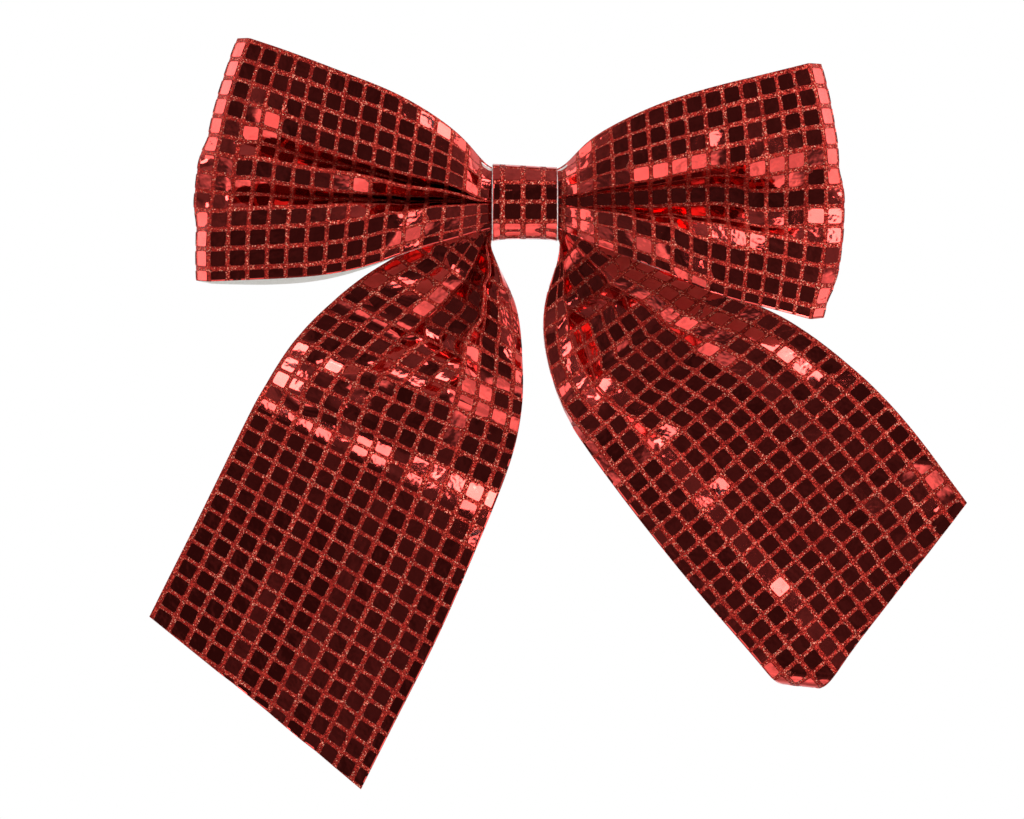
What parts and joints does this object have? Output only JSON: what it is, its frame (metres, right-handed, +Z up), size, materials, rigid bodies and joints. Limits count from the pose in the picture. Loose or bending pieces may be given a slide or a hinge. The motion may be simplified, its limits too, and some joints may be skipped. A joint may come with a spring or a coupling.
{
  "type": "gift bow",
  "caption": "Pre-tied gift bow of wide red ribbon with mirror-foil squares: flattened loops and long tails gathered under a narrow wrap, with a wire tie behind.",
  "frame": {"origin": "centre of the flat back face of the wrap, where the bow lies against what it decorates", "axes": "+X to the viewer's right along the loops, +Y out of the back of the bow, +Z up; the front faces -Y"},
  "size_m": [0.315, 0.0262, 0.2887],
  "materials": {
    "ribbon": "red glitter ground with rows of red mirror-foil squares, plain white backing",
    "glue": "cloudy hot melt",
    "wire": "bright drawn",
    "tie_plastic": "thin coating"
  },
  "bodies": {
    "knot": {"knot_wrap": "ribbon", "lap_glue": "glue", "cinch_wire": "wire", "loop_waist": "ribbon", "tail_waist": "ribbon", "tie_sleeve": "tie_plastic", "tie_core": "wire"},
    "left_loop": {"left_loop": "ribbon"},
    "right_loop": {"right_loop": "ribbon"},
    "left_tail": {"left_tail": "ribbon"},
    "right_tail": {"right_tail": "ribbon"},
    "left_tie_leg": {"left_tie_sleeve": "tie_plastic", "left_tie_core": "wire"},
    "right_tie_leg": {"right_tie_sleeve": "tie_plastic", "right_tie_core": "wire"}
  },
  "joints": [
    {"name": "left_loop_swing", "type": "hinge", "parent": "knot", "child": "left_loop", "pos_m": [-0.01375, -0.0123, 0.0008], "axis": [0, 0, 1], "range_deg": [0, 25]},
    {"name": "right_loop_swing", "type": "hinge", "parent": "knot", "child": "right_loop", "pos_m": [0.01375, -0.0123, 0.0008], "axis": [0, 0, -1], "range_deg": [0, 25]},
    {"name": "left_tail_spread", "type": "hinge", "parent": "knot", "child": "left_tail", "pos_m": [-0.0135, -0.0073, -0.0066], "axis": [0, 1, 0], "range_deg": [-3, 20]},
    {"name": "right_tail_spread", "type": "hinge", "parent": "knot", "child": "right_tail", "pos_m": [0.0135, -0.0073, -0.0066], "axis": [0, -1, 0], "range_deg": [-3, 20]},
    {"name": "left_tie_bend", "type": "hinge", "parent": "knot", "child": "left_tie_leg", "pos_m": [-0.01375, -0.0037, 0.004], "axis": [0, 0, -1], "range_deg": [0, 90]},
    {"name": "right_tie_bend", "type": "hinge", "parent": "knot", "child": "right_tie_leg", "pos_m": [0.01375, -0.0037, 0.004], "axis": [0, 0, 1], "range_deg": [0, 90]}
  ]
}
